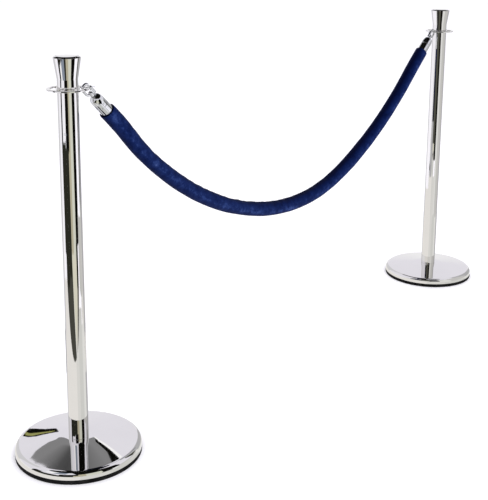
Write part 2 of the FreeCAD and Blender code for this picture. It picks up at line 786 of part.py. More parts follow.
sheet = make_sheet()
HOOK_CENTRE_LEFT = in_plane(hook_centre("left"))
HOOK_CENTRE_RIGHT = in_plane(hook_centre("right"))
pieces = make_post("left") + make_post("right")
pieces += make_rope_end("left") + make_rope_end("right")
pieces += make_rope()
check(pieces)
os.makedirs("parts", exist_ok=True)
for piece in pieces:
    solids = len(piece.Shape.Solids)
    print(f"{piece.Label}: {solids} solid, {piece.Shape.Volume:.0f} mm3")
    piece.Shape.exportStep(f"parts/{piece.Label}.step")
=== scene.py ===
"""The look of a rope barrier: two polished steel posts and the padded velvet rope between them.

Metres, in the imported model's own frame: the floor is z = 0, the posts stand on X, and the origin is
midway between them. Places and sizes come from the frame's nodes where they have them, and the rest
are named here. "left" and "right" are the posts; the camera stands nearer the left one.
"""

import json
import math

import bmesh
import bpy
from mathutils import Matrix, Vector, noise


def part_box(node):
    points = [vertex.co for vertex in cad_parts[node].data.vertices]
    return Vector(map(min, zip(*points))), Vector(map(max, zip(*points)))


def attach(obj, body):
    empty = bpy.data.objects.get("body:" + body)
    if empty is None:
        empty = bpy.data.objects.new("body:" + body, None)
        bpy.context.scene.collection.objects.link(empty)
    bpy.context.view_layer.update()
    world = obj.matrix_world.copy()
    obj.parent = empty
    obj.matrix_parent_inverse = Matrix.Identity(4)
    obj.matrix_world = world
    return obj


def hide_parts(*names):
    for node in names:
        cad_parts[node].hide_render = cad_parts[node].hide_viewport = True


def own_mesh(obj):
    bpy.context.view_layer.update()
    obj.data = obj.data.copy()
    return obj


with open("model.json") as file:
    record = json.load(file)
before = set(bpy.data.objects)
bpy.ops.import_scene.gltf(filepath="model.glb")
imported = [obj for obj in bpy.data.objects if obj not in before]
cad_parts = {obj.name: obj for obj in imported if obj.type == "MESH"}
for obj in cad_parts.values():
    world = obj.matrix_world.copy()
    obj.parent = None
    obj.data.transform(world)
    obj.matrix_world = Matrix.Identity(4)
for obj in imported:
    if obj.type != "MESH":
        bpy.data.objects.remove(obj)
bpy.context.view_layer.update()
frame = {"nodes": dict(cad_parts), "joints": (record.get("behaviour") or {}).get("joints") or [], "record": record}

SIDES = ("left", "right")
AROUND = 192  # segments of what is turned round a post
AROUND_BASE = 256  # segments of the wide pieces at the floor

VIEWER = Vector((-2.3490, -1.7975, 1.3249))  # where the camera stands

# The velvet's centre line: along the rope's own upright plane, and height.
ROUTE = (
    (-0.7625, 0.8701),
    (-0.7193, 0.8284),
    (-0.6550, 0.7540),
    (-0.5700, 0.6800),
    (-0.4650, 0.6070),
    (-0.3500, 0.5460),
    (-0.2250, 0.5000),
    (-0.0950, 0.4720),
    (0.0350, 0.4670),
    (0.1650, 0.4870),
    (0.2900, 0.5340),
    (0.4100, 0.5980),
    (0.5200, 0.6700),
    (0.6220, 0.7500),
    (0.7070, 0.8317),
    (0.7529, 0.8702),
)
ROPE_RADIUS = 0.022
SLEEVE_SIDES = 64  # corners in each ring of the velvet's skin
SLEEVE_STEP = 0.004  # between the rings

# The velvet turned in at each mouth, from inside outward: how deep, and how much narrower it is there.
HEM = (
    (0.0160, 0.0030),
    (0.0064, 0.0027),
    (0.00096, 0.0026),
    (0.00032, 0.0022),
    (0.0, 0.0013),
    (0.00032, 0.0003),
)

# The gate springs, a little narrower and shorter than the CAD's, so that at rest they touch nothing.
SPRING_COIL = 0.0014
SPRING_WIRE = 0.0003
SPRING_RISE = 0.0118  # along the axis, between the middles of the wire's two ends
SPRING_TURNS = 7.4

SHEET = 0.0012  # steel of the base covers
WALL = 0.0015  # steel of the tubes and crowns
EDGE = 0.0003  # rounding of a cut edge

# The hooks' bends, where the rope's plane crosses each ring.
HOOK_LEFT = Vector((-0.8281, -0.0135, 0.9326))
HOOK_RIGHT = Vector((0.8263, 0.0025, 0.9326))


def middle(node):
    low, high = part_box(node)
    return (Vector(low) + Vector(high)) / 2


def half_width(node):
    low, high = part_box(node)
    return (high[0] - low[0]) / 2


def bottom(node):
    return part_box(node)[0][2]


def top(node):
    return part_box(node)[1][2]


# ---- camera ----


def make_camera():
    """Chest height, before the left post and outside it, looking along the set to the right post."""
    camera = bpy.data.objects.new("camera", bpy.data.cameras.new("camera"))
    bpy.context.collection.objects.link(camera)
    heading = Vector((0.76250, 0.64699, 0))
    pitch = 0.2188
    roll = 0.0074
    look = heading * math.cos(pitch) + Vector((0, 0, -math.sin(pitch)))
    turn = look.to_track_quat("-Z", "Y").to_matrix() @ Matrix.Rotation(roll, 3, "Z")
    camera.matrix_world = Matrix.Translation(VIEWER) @ turn.to_4x4()
    camera.data.sensor_width = 36
    camera.data.lens = 71.0
    camera.data.shift_y = -0.22
    camera.data.clip_end = 50
    bpy.context.scene.camera = camera


# ---- material nodes ----


class Nodes:
    """Short names for the nodes that the materials here are made of."""

    def __init__(self, name):
        self.material = bpy.data.materials.new(name)
        self.material.use_nodes = True
        self.tree = self.material.node_tree
        self.shader = self.tree.nodes["Principled BSDF"]
        self.place = self.add("ShaderNodeTexCoord").outputs["Object"]

    def add(self, kind, **settings):
        node = self.tree.nodes.new(kind)
        for key, value in settings.items():
            setattr(node, key, value)
        return node

    def link(self, output, socket):
        self.tree.links.new(output, socket)

    def set(self, **values):
        """Plain values on the shader's own sockets."""
        for key, value in values.items():
            socket = self.shader.inputs[key.replace("_", " ")]
            socket.default_value = (*value, 1) if isinstance(value, tuple) else value

    def stretched(self, scale):
        """Object coordinates, multiplied along each axis."""
        mapping = self.add("ShaderNodeMapping")
        mapping.inputs["Scale"].default_value = scale
        self.link(self.place, mapping.inputs["Vector"])
        return mapping.outputs["Vector"]

    def noise(self, scale, detail=4.0, roughness=0.5, stretch=None):
        node = self.add("ShaderNodeTexNoise")
        node.inputs["Scale"].default_value = scale
        node.inputs["Detail"].default_value = detail
        node.inputs["Roughness"].default_value = roughness
        self.link(self.stretched(stretch) if stretch else self.place, node.inputs["Vector"])
        return node.outputs["Fac"]

    def spread(self, value, low, high, start=0.0, end=1.0):
        """A value from one span put on another, clamped."""
        node = self.add("ShaderNodeMapRange")
        self.link(value, node.inputs["Value"])
        node.inputs["From Min"].default_value = start
        node.inputs["From Max"].default_value = end
        node.inputs["To Min"].default_value = low
        node.inputs["To Max"].default_value = high
        return node.outputs["Result"]

    def colours(self, value, *stops):
        """A colour for each value: stops are (value, colour)."""
        ramp = self.add("ShaderNodeValToRGB")
        elements = ramp.color_ramp.elements
        while len(elements) < len(stops):
            elements.new(0.5)
        for element, (place, colour) in zip(elements, stops):
            element.position = place
            element.color = (*colour, 1)
        self.link(value, ramp.inputs["Fac"])
        return ramp.outputs["Color"]

    def bump(self, height, strength, distance, under=None):
        node = self.add("ShaderNodeBump")
        node.inputs["Strength"].default_value = strength
        node.inputs["Distance"].default_value = distance
        self.link(height, node.inputs["Height"])
        if under:
            self.link(under, node.inputs["Normal"])
        return node.outputs["Normal"]


def polished_metal(name, colour, dull, bright, line_axis=(1, 1, 40)):
    """Mirror-polished metal: faint buffing lines, and patches that are a little hazier and darker."""
    n = Nodes(name)
    n.set(Metallic=1.0)
    haze = n.noise(9.0, 5.0, 0.6)
    lines = n.noise(60.0, 3.0, 0.7, line_axis)
    mixed = n.add("ShaderNodeMath", operation="MULTIPLY_ADD")
    n.link(lines, mixed.inputs[0])
    mixed.inputs[1].default_value = 0.35
    n.link(haze, mixed.inputs[2])
    n.link(n.spread(mixed.outputs[0], bright, dull, 0.45, 0.95), n.shader.inputs["Roughness"])
    tint = n.colours(haze, (0.3, colour), (0.75, tuple(c * 0.965 for c in colour)))
    n.link(tint, n.shader.inputs["Base Color"])
    n.link(n.bump(lines, 0.02, 0.0002), n.shader.inputs["Normal"])
    return n.material


def turned_steel(name, colour):
    """Zinc-plated steel with the fine rings that a lathe leaves."""
    n = Nodes(name)
    n.set(Metallic=1.0)
    rings = n.noise(30.0, 4.0, 0.6, (1, 1, 60))
    patches = n.noise(40.0, 5.0)
    tint = n.colours(patches, (0.3, colour), (0.8, tuple(c * 0.78 for c in colour)))
    n.link(tint, n.shader.inputs["Base Color"])
    n.link(n.spread(patches, 0.28, 0.48), n.shader.inputs["Roughness"])
    n.link(n.bump(rings, 0.15, 0.0003), n.shader.inputs["Normal"])
    return n.material


def cast_iron():
    """A sand casting under black paint: coarse grain, with rust showing in patches."""
    n = Nodes("cast_iron")
    grain = n.noise(900.0, 6.0, 0.65)
    patches = n.noise(22.0, 6.0, 0.6)
    colour = n.colours(patches, (0.35, (0.02, 0.02, 0.022)), (0.62, (0.035, 0.033, 0.032)),
                       (0.78, (0.10, 0.045, 0.02)))
    n.link(colour, n.shader.inputs["Base Color"])
    n.set(Metallic=0.25)
    n.link(n.spread(grain, 0.55, 0.85), n.shader.inputs["Roughness"])
    n.link(n.bump(grain, 0.5, 0.0006), n.shader.inputs["Normal"])
    return n.material


def moulded_rubber():
    """Matt black rubber with a fine grain and dusty patches."""
    n = Nodes("moulded_rubber")
    grain = n.noise(1400.0, 3.0, 0.6)
    dust = n.noise(35.0, 6.0, 0.6)
    colour = n.colours(dust, (0.4, (0.004, 0.004, 0.004)), (0.75, (0.016, 0.016, 0.016)))
    n.link(colour, n.shader.inputs["Base Color"])
    n.set(Specular_IOR_Level=0.05)
    n.link(n.spread(dust, 0.55, 0.8), n.shader.inputs["Roughness"])
    n.link(n.bump(grain, 0.25, 0.0003), n.shader.inputs["Normal"])
    return n.material


def velvet():
    """Deep blue cotton velvet, brushed in patches, with painted shade toward the seam on top and painted light on
    the lower flank.
    """
    n = Nodes("velvet")
    brushed = n.noise(42.0, 6.0, 0.74)
    tufts = n.noise(1500.0, 2.0, 0.6)
    split = n.add("ShaderNodeSeparateXYZ")
    n.link(n.add("ShaderNodeTexCoord").outputs["UV"], split.inputs["Vector"])
    # Painted light and shade round the sleeve, from its underside (0) to its seam on top (1): darkest at the seam,
    # palest on the lower flank, darker again underneath.
    painted_shade_stops = ((0.05, 0.30), (0.20, 0.55), (0.38, 1.0), (0.58, 0.85),
                (0.74, 0.42), (0.85, 0.15), (0.94, 0.0))
    painted_shade = n.colours(split.outputs["Y"], *[(rise, (pale,) * 3) for rise, pale in painted_shade_stops])
    level = n.add("ShaderNodeMath", operation="MULTIPLY")
    n.link(painted_shade, level.inputs[0])
    n.link(n.spread(brushed, 0.30, 1.0, 0.35, 0.68), level.inputs[1])
    colour = n.colours(level.outputs[0],
                       (0.0, (0.0, 0.0010, 0.016)),
                       (0.32, (0.0020, 0.0085, 0.058)),
                       (0.60, (0.0060, 0.0165, 0.088)),
                       (0.80, (0.020, 0.042, 0.160)),
                       (1.0, (0.044, 0.072, 0.215)))
    n.link(colour, n.shader.inputs["Base Color"])
    n.set(Sheen_Weight=0.08, Sheen_Roughness=0.4, Sheen_Tint=(0.45, 0.55, 1.0))
    n.set(Specular_IOR_Level=0.03)
    n.link(n.spread(brushed, 0.95, 0.75), n.shader.inputs["Roughness"])
    pile = n.bump(tufts, 0.35, 0.0006)
    n.link(n.bump(brushed, 0.45, 0.0022, pile), n.shader.inputs["Normal"])
    return n.material


def foam():
    """Open-cell foam, inside the velvet."""
    n = Nodes("foam")
    cells = n.add("ShaderNodeTexVoronoi")
    cells.inputs["Scale"].default_value = 700.0
    n.link(n.place, cells.inputs["Vector"])
    shade = n.colours(cells.outputs["Distance"], (0.1, (0.62, 0.58, 0.46)), (0.6, (0.82, 0.79, 0.68)))
    n.link(shade, n.shader.inputs["Base Color"])
    n.set(Roughness=0.9)
    n.link(n.bump(cells.outputs["Distance"], 0.6, 0.0008), n.shader.inputs["Normal"])
    return n.material


def cotton_cord():
    """Laid cotton: pale strands as slanting bands."""
    n = Nodes("cotton_cord")
    strands = n.add("ShaderNodeTexWave", wave_type="BANDS", bands_direction="DIAGONAL")
    strands.inputs["Scale"].default_value = 90.0
    strands.inputs["Distortion"].default_value = 1.5
    n.link(n.place, strands.inputs["Vector"])
    shade = n.colours(strands.outputs["Fac"], (0.1, (0.34, 0.30, 0.22)), (0.6, (0.66, 0.61, 0.50)))
    n.link(shade, n.shader.inputs["Base Color"])
    n.set(Roughness=0.95, Sheen_Weight=0.2)
    n.link(n.bump(strands.outputs["Fac"], 0.7, 0.0012), n.shader.inputs["Normal"])
    return n.material


# ---- meshes ----


def finish_mesh(name, bm, material, sharp=35):
    mesh = bpy.data.meshes.new(name)
    bmesh.ops.remove_doubles(bm, verts=bm.verts, dist=1e-7)
    bmesh.ops.recalc_face_normals(bm, faces=bm.faces)
    bm.to_mesh(mesh)
    bm.free()
    for face in mesh.polygons:
        face.use_smooth = True
    mesh.set_sharp_from_angle(angle=math.radians(sharp))
    mesh.materials.append(material)
    piece = bpy.data.objects.new(name, mesh)
    bpy.context.collection.objects.link(piece)
    return piece


def rounded(corners, steps=8):
    """An outline of (radius, height, rounding) corners as points, each rounding an arc."""
    points = []
    count = len(corners)
    for i, (out, up, rounding) in enumerate(corners):
        here = Vector((out, up))
        if not rounding:
            points.append(here)
            continue
        before = Vector(corners[i - 1][:2]) - here
        after = Vector(corners[(i + 1) % count][:2]) - here
        half = before.angle(after) / 2
        reach = rounding / math.tan(half)
        start = here + before.normalized() * reach
        end = here + after.normalized() * reach
        inward = (before.normalized() + after.normalized()).normalized()
        centre = here + inward * (rounding / math.sin(half))
        sweep = (start - centre).angle_signed(end - centre)
        for step in range(steps + 1):
            turn = Matrix.Rotation(-sweep * step / steps, 2)
            points.append(centre + turn @ (start - centre))
    return points


def held(outline, hold=0.0003):
    """The outline with a point just inside each end of its long runs, so that they shade as flat."""
    points = []
    for here, following in zip(outline, outline[1:] + outline[:1]):
        run = following - here
        points.append(here)
        if run.length > 10 * hold:
            step = run.normalized() * hold
            points += [here + step, following - step]
    return points


def band(bm, before, after):
    """The faces between two rings of as many corners."""
    count = len(before)
    faces = []
    for k in range(count):
        following = (k + 1) % count
        faces.append(bm.faces.new((before[k], before[following], after[following], after[k])))
    return faces


def turned(name, centre, outline, material, around=AROUND):
    """A closed outline turned round the upright axis through centre."""
    outline = held(outline)
    bm = bmesh.new()
    rings = []
    for point in outline:
        ring = []
        for k in range(around):
            angle = 2 * math.pi * k / around
            ring.append(bm.verts.new((centre[0] + point.x * math.cos(angle),
                                      centre[1] + point.x * math.sin(angle), point.y)))
        rings.append(ring)
    for ring, following in zip(rings, rings[1:] + rings[:1]):
        for k in range(around):
            after = (k + 1) % around
            face = (ring[k], ring[after], following[after], following[k])
            if len({tuple(round(c, 9) for c in vert.co) for vert in face}) > 2:
                bm.faces.new(face)
    return finish_mesh(name, bm, material)


def keep_on(piece, body, nodes):
    """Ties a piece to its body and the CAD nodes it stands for."""
    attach(piece, body)
    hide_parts(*nodes)
    return piece


# ---- rope ----


def rope_frame():
    """The rope's upright plane: its middle on the floor, its direction, and the way across it."""
    centre = (HOOK_LEFT + HOOK_RIGHT) / 2
    along = (HOOK_RIGHT - HOOK_LEFT).normalized()
    return Vector((centre.x, centre.y, 0)), along, Vector((-along.y, along.x, 0))


def smooth_route():
    """The route's NURBS line, and the points that Blender gives for it."""
    centre, along, _ = rope_frame()
    curve = bpy.data.curves.new("rope_route", "CURVE")
    curve.dimensions = "3D"
    curve.resolution_u = 24
    spline = curve.splines.new("NURBS")
    spline.points.add(len(ROUTE) - 1)
    for point, (reach, height) in zip(spline.points, ROUTE):
        point.co = (*(centre + along * reach + Vector((0, 0, height))), 1)
    spline.order_u = 3
    spline.use_endpoint_u = True
    line = bpy.data.objects.new("rope_route", curve)
    bpy.context.collection.objects.link(line)
    bpy.context.view_layer.update()
    mesh = bpy.data.meshes.new_from_object(line)
    points = [vert.co.copy() for vert in mesh.vertices]
    bpy.data.objects.remove(line)
    return points


def evenly(points, gap):
    """The same line with its points an even distance apart, and its length."""
    lengths = [0.0]
    for before, after in zip(points, points[1:]):
        lengths.append(lengths[-1] + (after - before).length)
    count = round(lengths[-1] / gap)
    spaced = []
    k = 0
    for i in range(count + 1):
        wanted = lengths[-1] * i / count
        while k < len(points) - 2 and lengths[k + 1] < wanted:
            k += 1
        share = (wanted - lengths[k]) / (lengths[k + 1] - lengths[k])
        spaced.append(points[k].lerp(points[k + 1], share))
    return spaced, lengths[-1]


def velvet_radius(reach, length, angle):
    """The sleeve's radius at a distance along it: soft lumps, and puckers where its seam runs on top."""
    lumps = noise.noise(Vector((reach * 7, math.cos(angle) * 0.6, math.sin(angle) * 0.6))) * 0.0010
    folds = noise.noise(Vector((reach * 26, math.cos(angle) * 1.6, math.sin(angle) * 1.6))) * 0.00045
    on_top = math.exp(-((math.remainder(angle, 2 * math.pi) / 0.6) ** 2))
    puckers = noise.noise(Vector((reach * 48, 3.1, 0.7))) * 0.0016 * on_top
    from_end = min(reach, length - reach)
    ease = min(1.0, from_end / 0.05)
    hollow = 0.0006  # the lumps stand up from a sleeve this much narrower than the CAD's
    return ROPE_RADIUS - hollow + (lumps + folds + puckers) * ease


def coil_rings(bm, centre, axis):
    """Rings of corners round a spring's wire, along its helix."""
    out = axis.orthogonal().normalized()
    over = axis.cross(out)
    steps = 160
    sides = 8
    rings = []
    for step in range(steps + 1):
        turn = 2 * math.pi * SPRING_TURNS * step / steps
        spoke = out * math.cos(turn) + over * math.sin(turn)
        heart = centre + axis * SPRING_RISE * (step / steps - 0.5) + spoke * SPRING_COIL
        ring = []
        for k in range(sides):
            angle = 2 * math.pi * k / sides
            off = spoke * math.cos(angle) + axis * math.sin(angle)
            ring.append(bm.verts.new(heart + off * SPRING_WIRE))
        rings.append(ring)
    return rings


def make_spring(side, material):
    """A gate's spring, carried on its hook."""
    node = f"{side}_gate_spring"
    slide = next(joint for joint in frame["joints"] if joint["name"] == f"{side}_gate_slide")
    axis = Vector(slide["axis"]).normalized()
    centre = middle(node)
    bm = bmesh.new()
    rings = coil_rings(bm, centre, axis)
    for before, after in zip(rings, rings[1:]):
        band(bm, before, after)
    bm.faces.new(rings[0][::-1])
    bm.faces.new(rings[-1])
    piece = finish_mesh(f"{side}_gate_coil", bm, material, 60)
    keep_on(piece, f"{side}_hook", [node])
    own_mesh(piece)
    return piece


def sleeve_sections(centres, length, across):
    """The sleeve's rings: each one's middle, the way that is up for it, and its radii."""
    last = len(centres) - 1
    sections = []
    for i, centre in enumerate(centres):
        ahead = (centres[min(i + 1, last)] - centres[max(i - 1, 0)]).normalized()
        up = ahead.cross(across).normalized()
        reach = length * i / last
        radii = [velvet_radius(reach, length, 2 * math.pi * k / SLEEVE_SIDES) for k in range(SLEEVE_SIDES)]
        sections.append((centre, up, radii))
    return sections


def hem_sections(section, inward):
    """The velvet turned in at a mouth, as sections from inside outward."""
    centre, up, radii = section
    return [(centre + inward * depth, up, [radius - narrower for radius in radii])
            for depth, narrower in HEM]


def sleeve_rings(bm, sections, across):
    """A ring of corners for each section."""
    rings = []
    for centre, up, radii in sections:
        ring = []
        for k, radius in enumerate(radii):
            angle = 2 * math.pi * k / SLEEVE_SIDES
            spoke = up * math.cos(angle) + across * math.sin(angle)
            ring.append(bm.verts.new(centre + spoke * radius))
        rings.append(ring)
    return rings


def sleeve_skin(bm, rings):
    """The faces between the rings; v runs from the underside, 0, to the seam on top, 1, on both sides."""
    uv = bm.loops.layers.uv.new("sleeve")
    for step, (before, after) in enumerate(zip(rings, rings[1:])):
        for k, face in enumerate(band(bm, before, after)):
            for loop, turn, forward in zip(face.loops, (k, k + 1, k + 1, k), (0, 0, 1, 1)):
                rise = abs(1 - 2 * turn / SLEEVE_SIDES)
                loop[uv].uv = ((step + forward) / len(rings), rise)


def make_rope(material, springs):
    """The velvet sleeve as one skin along the route, its ends turned in round the ferrules."""
    path = smooth_route()
    centres, length = evenly(path, SLEEVE_STEP)
    _, _, across = rope_frame()
    sections = sleeve_sections(centres, length, across)
    bm = bmesh.new()
    first_hem = hem_sections(sections[0], (centres[1] - centres[0]).normalized())
    last_hem = hem_sections(sections[-1], (centres[-2] - centres[-1]).normalized())
    start = sleeve_rings(bm, first_hem, across)
    end = sleeve_rings(bm, last_hem, across)
    skin = sleeve_rings(bm, sections[1:-1], across)
    sleeve_skin(bm, start + skin + end[::-1])
    piece = finish_mesh("velvet_rope", bm, material, 60)
    thick = piece.modifiers.new("cloth", "SOLIDIFY")
    thick.thickness = 0.0006
    thick.offset = -1
    keep_on(piece, "rope", ["rope_cover"])
    return piece


# ---- posts ----


def make_cover(side, material):
    """The spun shell: a leaning band, a rolled shoulder, a shallow cone and its flat centre."""
    node = f"{side}_base_cover"
    edge = half_width(node)
    low, high = bottom(node), top(node)
    shoulder = low + 0.0177
    band_top = edge - 0.0015
    crest = 0.043  # where the flat centre turns into the cone, in a long soft bend
    hole = 0.010
    outline = rounded((
        (edge, low, EDGE),
        (band_top, shoulder, 0.014),
        (crest, high, 0.26),
        (hole, high, 0),
        (hole, high - SHEET, 0),
        (crest, high - SHEET, 0),
        (band_top - SHEET, shoulder - SHEET, 0.0128),
        (edge - SHEET, low, EDGE),
    ), 16)
    piece = turned(f"{side}_cover_shell", middle(f"{side}_post_tube"), outline, material, AROUND_BASE)
    return keep_on(piece, "posts", [node])


def make_tube(side, material):
    node = f"{side}_post_tube"
    radius = half_width(node)
    low, high = bottom(node), top(node)
    outline = rounded((
        (radius, low, 0.0005),
        (radius, high, 0.0005),
        (radius - WALL, high, EDGE),
        (radius - WALL, low, EDGE),
    ), 4)
    piece = turned(f"{side}_tube", middle(node), outline, material)
    return keep_on(piece, "posts", [node])


def make_crown(side, material):
    """The collar and cone, with a soft fold where the cone starts and a rolled lip at the lid."""
    node = f"{side}_crown_shell"
    radius = half_width(f"{side}_post_tube")
    flare = half_width(node)
    low, high = bottom(node), top(node)
    fold = low + 0.0215
    outline = rounded((
        (radius, low, 0.0005),
        (radius, fold, 0.0015),
        (flare, high, 0.0004),
        (flare - WALL, high, EDGE),
        (radius - WALL, fold, 0.004),
        (radius - WALL, low, EDGE),
    ), 5)
    piece = turned(f"{side}_crown_cone", middle(node), outline, material)
    return keep_on(piece, "posts", [node])


def make_lid(side, material):
    """The lid: a rim that rolls over into a slightly domed top, and a spigot inside the cone."""
    node = f"{side}_crown_lid"
    radius = half_width(node)
    seam = top(f"{side}_crown_shell")
    high = top(node)
    fall = 0.0012  # from the dome's middle to its rim
    spigot = seam - 0.005
    ceiling = seam - 0.0035
    dome = [Vector((radius * share, high - fall * share ** 2)) for share in (0.0, 0.2, 0.4, 0.6, 0.76)]
    edge = rounded((
        (radius - 0.0040, high - fall, 0.0005),
        (radius, seam + 0.0004, 0.0002),
        (radius - 0.0019, seam + 0.0002, 0),
        (radius - 0.0029, spigot, EDGE),
        (radius - 0.0050, spigot, 0),
    ), 6)
    outline = dome + edge + [Vector((radius * 0.5, ceiling)), Vector((0.0, ceiling))]
    piece = turned(f"{side}_lid", middle(node), outline, material)
    return keep_on(piece, "posts", [node])


def make_floor_ring(side, material):
    """The rubber ring: rounded at the floor, with an upright wall and a shelf under the weight."""
    node = f"{side}_floor_ring"
    edge = half_width(node)
    high = top(node)
    shelf = 0.004
    hole = edge - 0.028
    wall = edge - 0.010
    outline = rounded((
        (hole, 0.0, 0.0008),
        (edge, 0.0, 0.0025),
        (edge, high, 0.0010),
        (wall, high, 0.0005),
        (wall, shelf, 0.0015),
        (hole, shelf, 0.0008),
    ), 6)
    piece = turned(f"{side}_rubber_ring", middle(node), outline, material, AROUND_BASE)
    return keep_on(piece, "posts", [node])


# ---- studio ----

CARD_TOP = 1.08  # top of the cards that stand higher than the crowns
CEILING = 4.3  # height of the dark gap overhead
BEYOND = 4.0  # how far behind the left post the overhead cards hang

SHADES = {
    "black": (0.004, 0.004, 0.003),
    "dark_olive": (0.028, 0.029, 0.021),
    "smoke": (0.070, 0.070, 0.058),
    "moss": (0.10, 0.10, 0.08),
    "brown": (0.17, 0.16, 0.14),
    "olive": (0.34, 0.34, 0.12),
    "blue_grey": (0.29, 0.33, 0.40),
    "grey": (0.50, 0.50, 0.51),
    "tan": (0.56, 0.52, 0.38),
    "putty": (0.66, 0.655, 0.635),
    "pale_grey": (0.74, 0.74, 0.76),
    "cool": (0.74, 0.745, 0.71),
    "pale_green": (0.76, 0.77, 0.66),
    "pale_tan": (0.80, 0.78, 0.64),
    "mid": (0.82, 0.815, 0.78),
    "pale": (0.87, 0.87, 0.84),
    "warm": (0.93, 0.91, 0.87),
    "white": (1.12, 1.12, 1.12),
}

# Soot gets paler away from one place, given as (right, away, up) from the left post's foot.
SOOT_HEART = (-0.30, BEYOND, 3.95)
SOOT_GREYS = ((0.0, 0.070), (0.20, 0.090), (0.45, 0.170), (0.90, 0.260))

# Cards that stand round a post: name, bearings, distance, heights, shade. A bearing of 0 degrees is
# toward the viewer, and 90 is to the viewer's right.
STANDING_CARDS = {
    "left": (
        ("flag_thin", (-84, -70), 1.60, (0.0, CARD_TOP), "black"),
        ("flag_low", (-76, -40), 1.25, (0.0, 0.55), "dark_olive"),
        ("flag_low_inner", (-40, -11), 1.35, (0.0, 0.50), "dark_olive"),
        ("flag_left", (-36, -3), 1.50, (0.45, CARD_TOP), "black"),
        ("card_tan", (-12, 10), 1.60, (0.0, CARD_TOP), "tan"),
        ("card_green", (10, 44), 1.60, (0.0, CARD_TOP), "pale_green"),
        ("flag_right_low", (35, 53), 1.20, (0.0, 0.18), "black"),
        ("flag_right", (37, 69), 1.20, (0.18, CARD_TOP), "black"),
        ("card_right", (64, 112), 1.20, (0.0, 0.30), "putty"),
        ("side_right", (112, 150), 0.80, (0.0, CARD_TOP), "grey"),
        ("side_left", (-150, -114), 0.80, (0.0, CARD_TOP), "pale_grey"),
    ),
    "right": (
        ("flag_left", (-42, -20), 0.85, (0.44, CARD_TOP), "black"),
        ("flag_middle", (-20, 8), 0.85, (0.34, CARD_TOP), "moss"),
        ("flag_right", (8, 33), 0.85, (0.26, CARD_TOP), "black"),
        ("card_low_left", (-58, -5), 0.84, (0.0, 0.20), "warm"),
        ("card_low_right", (-5, 44), 0.84, (0.0, 0.20), "mid"),
        ("card_right", (33, 62), 0.86, (0.0, CARD_TOP), "pale"),
        ("card_far_right", (62, 112), 0.86, (0.0, CARD_TOP), "putty"),
        ("side_right", (112, 150), 0.80, (0.0, CARD_TOP), "grey"),
        ("side_left", (-150, -114), 0.80, (0.0, CARD_TOP), "pale_grey"),
    ),
}

# Cards on the floor round each post: name, bearings, distances, shade.
FLOOR_CARDS = (
    ("floor_right", (112, 180), (0.17, 0.85), "grey"),
    ("floor_left", (-180, -126), (0.17, 0.85), "pale_grey"),
    ("floor_warm", (-126, 0), (0.17, 1.30), "warm"),
    ("floor_mid", (0, 32), (0.17, 1.30), "mid"),
    ("floor_cool", (32, 76), (0.17, 1.00), "cool"),
    ("floor_pale", (76, 112), (0.17, 0.85), "pale"),
)

# Flags on the floor before the left post, which end in points near it: name, shade, height, and
# corners as (bearing, distance).
WEDGES = (
    ("wedge_left", "smoke", 0.003,
     ((6, 0.60), (-76, 1.25), (-40, 1.25), (-40, 1.35), (-11, 1.35), (-11, 1.60))),
    ("wedge_middle", "pale_tan", 0.004,
     ((10, 0.66), (-12, 1.60), (10, 1.60), (44, 1.60))),
    ("wedge_right", "brown", 0.005,
     ((14, 0.62), (36, 1.20), (54, 1.20))),
)

# Cards that hang beyond the left post and show in its base: name, shade, how far nearer than BEYOND,
# and corners as (right, up).
HANGING_CARDS = (
    ("gap_back", "soot", 0.0,
     ((-0.52, 2.25), (0.34, 2.50), (0.62, 2.92), (0.70, 3.20), (0.77, 3.42), (0.80, 3.80), (0.80, CEILING),
      (-0.45, CEILING), (-0.66, 3.66), (-0.83, 3.30), (-0.90, 3.00), (-0.86, 2.75), (-0.75, 2.45))),
    ("gap_edge", "black", 0.012,
     ((0.46, 2.72), (0.62, 2.92), (0.70, 3.20), (0.77, 3.42), (0.80, 3.80), (0.80, CEILING),
      (0.60, CEILING), (0.66, 3.42), (0.60, 3.18), (0.52, 2.98))),
    ("softbox_edge", "white", 0.0,
     ((0.34, 2.50), (0.40, 2.49), (0.68, 2.90), (0.76, 3.18), (0.84, 3.40), (0.88, 3.80),
      (0.80, 3.80), (0.77, 3.42), (0.70, 3.20), (0.62, 2.92))),
    ("flag_beyond", "black", 0.0,
     ((-0.44, 1.40), (-0.51, 1.62), (-0.65, 1.78), (-0.74, 1.87), (-0.79, 1.86), (-0.81, 1.78),
      (-0.78, 1.64), (-0.72, 1.51), (-0.65, 1.49), (-0.56, 1.49))),
    ("flag_edge", "olive", 0.02,
     ((-0.50, 1.53), (-0.60, 1.62), (-0.67, 1.66), (-0.73, 1.68), (-0.73, 1.60), (-0.75, 1.63),
      (-0.78, 1.75), (-0.75, 1.81), (-0.66, 1.73), (-0.58, 1.66))),
)


def glowing_floor():
    """White, with a faint glow of its own that keeps it white far off and its shadows faint."""
    n = Nodes("studio_floor")
    n.set(Base_Color=(0.93, 0.93, 0.935), Roughness=0.9, Specular_IOR_Level=0.1)
    n.set(Emission_Color=(1.0, 1.0, 1.0), Emission_Strength=0.2)
    return n.material


def glowing(name, colour):
    n = Nodes(name)
    n.set(Base_Color=(0, 0, 0), Roughness=1.0, Specular_IOR_Level=0.0)
    n.set(Emission_Color=colour, Emission_Strength=1.0)
    return n


def soot():
    """A glowing dark grey that is darkest at one place and paler away from it."""
    darkest = SOOT_GREYS[0][1]
    n = glowing("card_soot", (darkest,) * 3)
    away = n.add("ShaderNodeVectorMath", operation="DISTANCE")
    away.inputs[1].default_value = from_post("left", *SOOT_HEART)
    n.link(n.place, away.inputs[0])
    stops = [(metres, (grey, grey, grey * 1.02)) for metres, grey in SOOT_GREYS]
    n.link(n.colours(away.outputs["Value"], *stops), n.shader.inputs["Emission Color"])
    return n.material


